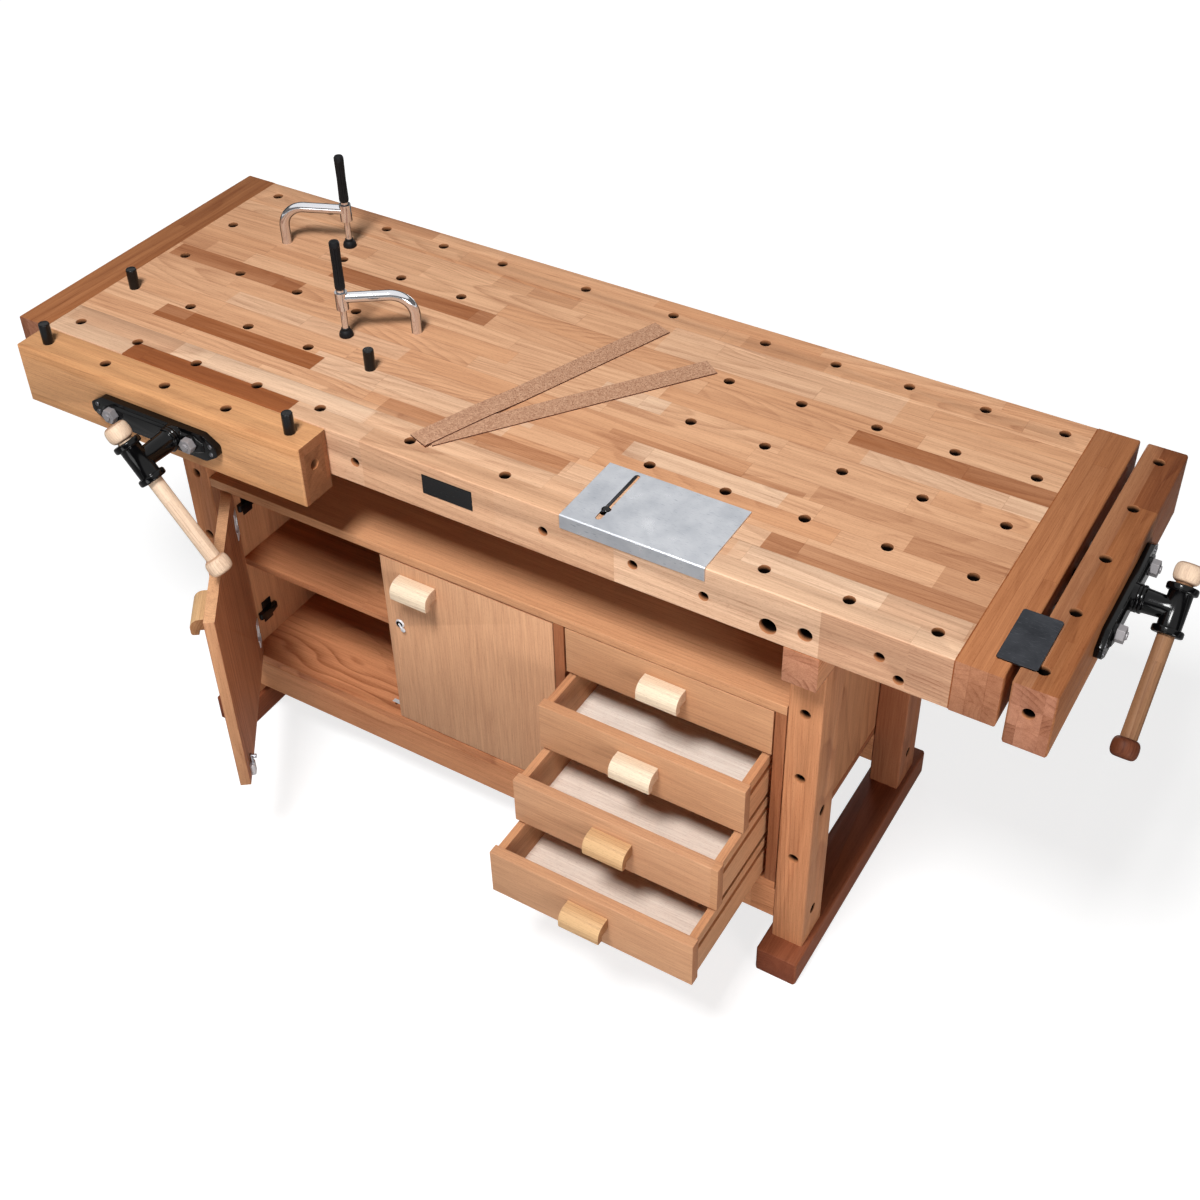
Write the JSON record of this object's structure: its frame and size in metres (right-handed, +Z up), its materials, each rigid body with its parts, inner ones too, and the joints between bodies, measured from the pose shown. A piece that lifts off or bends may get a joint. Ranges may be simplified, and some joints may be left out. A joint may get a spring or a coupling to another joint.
{
  "type": "woodworking bench",
  "caption": "Wooden workbench with dog holes, front and end screw vises, trestle legs, and a cabinet with doors and drawers.",
  "frame": {"origin": "on the floor, under the middle of the bench's overall length and depth as it stands with its door and drawers open", "axes": "+X along the bench towards its end vise, +Y from front to back, +Z up"},
  "size_m": [2.1044, 0.9044, 1.094],
  "materials": {
    "top_beech": "laminated beech, oiled",
    "edge_beech": "solid beech, oiled",
    "frame_beech": "solid beech, oiled",
    "foot_beech": "dark stained beech",
    "case_beech": "beech veneered board",
    "front_beech": "beech veneered board",
    "pull_maple": "pale turned beech",
    "black_casting": "gloss black enamel on cast iron",
    "zinc": "bright zinc plate",
    "chrome": "polished chrome",
    "steel": "brushed sheet steel",
    "black_plastic": "matt black plastic",
    "black_rubber": "ribbed black rubber",
    "cork": "granulated cork sheet"
  },
  "bodies": {
    "bench": {"top_panel": "top_beech", "front_beam": "top_beech", "back_beam": "top_beech", "left_end_cap": "edge_beech", "right_end_cap": "edge_beech", "front_legs": "frame_beech", "back_legs": "frame_beech", "feet": "foot_beech", "bearers": "frame_beech", "stretchers": "frame_beech", "frame_bolts": "zinc", "cabinet_floor": "case_beech", "cabinet_top": "case_beech", "cabinet_sides": "case_beech", "cabinet_divider": "case_beech", "cabinet_back": "case_beech", "shelf": "case_beech", "drawer_runners": "frame_beech", "hinge_arms": "zinc", "steel_plates": "steel", "cork_strips": "cork", "vise_brackets": "black_casting"},
    "left_door": {"left_door": "front_beech", "left_door_pull": "pull_maple", "left_door_fittings": "zinc"},
    "door_bolt": {"door_bolt": "zinc"},
    "right_door": {"right_door": "front_beech", "right_door_pull": "pull_maple", "right_hinge_cups": "zinc"},
    "door_lock": {"door_lock": "chrome"},
    "front_jaw": {"front_jaw": "top_beech", "front_jaw_plate": "black_casting", "front_guide_rods": "zinc"},
    "front_screw": {"front_screw": "black_casting"},
    "front_handle": {"front_handle": "pull_maple"},
    "end_jaw": {"end_jaw": "top_beech", "end_jaw_plate": "black_casting", "end_guide_rods": "zinc"},
    "end_screw": {"end_screw": "black_casting"},
    "end_handle": {"end_handle": "pull_maple"},
    "drawer_1": {"drawer_1": "front_beech", "drawer_1_pull": "pull_maple"},
    "dog_1": {"dog_1": "black_plastic"},
    "drawer_2": {"drawer_2": "front_beech", "drawer_2_pull": "pull_maple"},
    "dog_2": {"dog_2": "black_plastic"},
    "drawer_3": {"drawer_3": "front_beech", "drawer_3_pull": "pull_maple"},
    "dog_3": {"dog_3": "black_plastic"},
    "drawer_4": {"drawer_4": "front_beech", "drawer_4_pull": "pull_maple"},
    "dog_4": {"dog_4": "black_plastic"},
    "hold_down_1_post": {"hold_down_1_post": "chrome"},
    "hold_down_1_pad": {"hold_down_1_pad": "black_plastic"},
    "hold_down_1_screw": {"hold_down_1_screw": "chrome", "hold_down_1_grip": "black_rubber"},
    "hold_down_2_post": {"hold_down_2_post": "chrome"},
    "hold_down_2_pad": {"hold_down_2_pad": "black_plastic"},
    "hold_down_2_screw": {"hold_down_2_screw": "chrome", "hold_down_2_grip": "black_rubber"}
  },
  "joints": [
    {"name": "front_jaw_slide", "type": "slide", "parent": "bench", "child": "front_jaw", "axis": [0, -1, 0], "range_m": [-0.0002, 0.1502]},
    {"name": "front_screw_turn", "type": "hinge", "parent": "front_jaw", "child": "front_screw", "pos_m": [-0.60475, -0.36448, 0.842], "axis": [0, -1, 0], "range_deg": [0, 9000]},
    {"name": "front_handle_slide", "type": "slide", "parent": "front_screw", "child": "front_handle", "axis": [-0.6211, 0, 0.7837], "range_m": [0, 0.163]},
    {"name": "end_jaw_slide", "type": "slide", "parent": "bench", "child": "end_jaw", "axis": [1, 0, 0], "range_m": [-0.0122, 0.1382]},
    {"name": "end_screw_turn", "type": "hinge", "parent": "end_jaw", "child": "end_screw", "pos_m": [1.02675, 0.13452, 0.842], "axis": [1, 0, 0], "range_deg": [-720, 8280]},
    {"name": "end_handle_slide", "type": "slide", "parent": "end_screw", "child": "end_handle", "axis": [0, 0.6984, 0.7157], "range_m": [0, 0.163]},
    {"name": "left_door_hinge", "type": "hinge", "parent": "bench", "child": "left_door", "pos_m": [-0.65775, -0.15548, 0.408], "axis": [0, 0, -1], "range_deg": [-53.4, 56.6]},
    {"name": "right_door_hinge", "type": "hinge", "parent": "bench", "child": "right_door", "pos_m": [0.08225, -0.15548, 0.408], "axis": [0, 0, 1], "range_deg": [0, 88]},
    {"name": "door_lock_turn", "type": "hinge", "parent": "right_door", "child": "door_lock", "pos_m": [-0.25675, -0.15548, 0.46], "axis": [0, 1, 0], "range_deg": [0, 90]},
    {"name": "door_bolt_slide", "type": "slide", "parent": "left_door", "child": "door_bolt", "axis": [0, 0, -1], "range_m": [0, 0.012]},
    {"name": "drawer_1_slide", "type": "slide", "parent": "bench", "child": "drawer_1", "axis": [0, -1, 0], "range_m": [0, 0.38]},
    {"name": "drawer_2_slide", "type": "slide", "parent": "bench", "child": "drawer_2", "axis": [0, -1, 0], "range_m": [-0.092, 0.288]},
    {"name": "drawer_3_slide", "type": "slide", "parent": "bench", "child": "drawer_3", "axis": [0, -1, 0], "range_m": [-0.18, 0.2]},
    {"name": "drawer_4_slide", "type": "slide", "parent": "bench", "child": "drawer_4", "axis": [0, -1, 0], "range_m": [-0.262, 0.118]},
    {"name": "dog_1_slide", "type": "slide", "parent": "front_jaw", "child": "dog_1", "axis": [0, 0, 1], "range_m": [-0.04, 0.045]},
    {"name": "dog_2_slide", "type": "slide", "parent": "front_jaw", "child": "dog_2", "axis": [0, 0, 1], "range_m": [-0.04, 0.045]},
    {"name": "dog_3_slide", "type": "slide", "parent": "bench", "child": "dog_3", "axis": [0, 0, 1], "range_m": [-0.04, 0.045]},
    {"name": "dog_4_slide", "type": "slide", "parent": "bench", "child": "dog_4", "axis": [0, 0, 1], "range_m": [-0.04, 0.045]},
    {"name": "hold_down_1_swivel", "type": "hinge", "parent": "bench", "child": "hold_down_1_post", "pos_m": [-0.79775, 0.26952, 0.9], "axis": [0, 0, 1], "continuous": true},
    {"name": "hold_down_1_pad_lift", "type": "slide", "parent": "hold_down_1_post", "child": "hold_down_1_pad", "axis": [0, 0, 1], "range_m": [0, 0.033]},
    {"name": "hold_down_1_screw_turn", "type": "hinge", "parent": "hold_down_1_pad", "child": "hold_down_1_screw", "pos_m": [-0.67949, 0.3185, 0.957], "axis": [0, 0, 1], "range_deg": [-1, 3961]},
    {"name": "hold_down_2_swivel", "type": "hinge", "parent": "bench", "child": "hold_down_2_post", "pos_m": [-0.37775, 0.12952, 0.9], "axis": [0, 0, 1], "range_deg": [-260, 35]},
    {"name": "hold_down_2_pad_lift", "type": "slide", "parent": "hold_down_2_post", "child": "hold_down_2_pad", "axis": [0, 0, 1], "range_m": [0, 0.033]},
    {"name": "hold_down_2_screw_turn", "type": "hinge", "parent": "hold_down_2_pad", "child": "hold_down_2_screw", "pos_m": [-0.48196, 0.05519, 0.957], "axis": [0, 0, 1], "range_deg": [-1, 3961]}
  ],
  "couplings": [
    {"joint": "front_jaw_slide", "follows": "front_screw_turn", "m_per_rad": 0.00095493},
    {"joint": "end_jaw_slide", "follows": "end_screw_turn", "m_per_rad": 0.00095493},
    {"joint": "hold_down_1_screw_turn", "follows": "hold_down_1_pad_lift", "rad_per_m": 2094.4},
    {"joint": "hold_down_2_screw_turn", "follows": "hold_down_2_pad_lift", "rad_per_m": 2094.4}
  ]
}
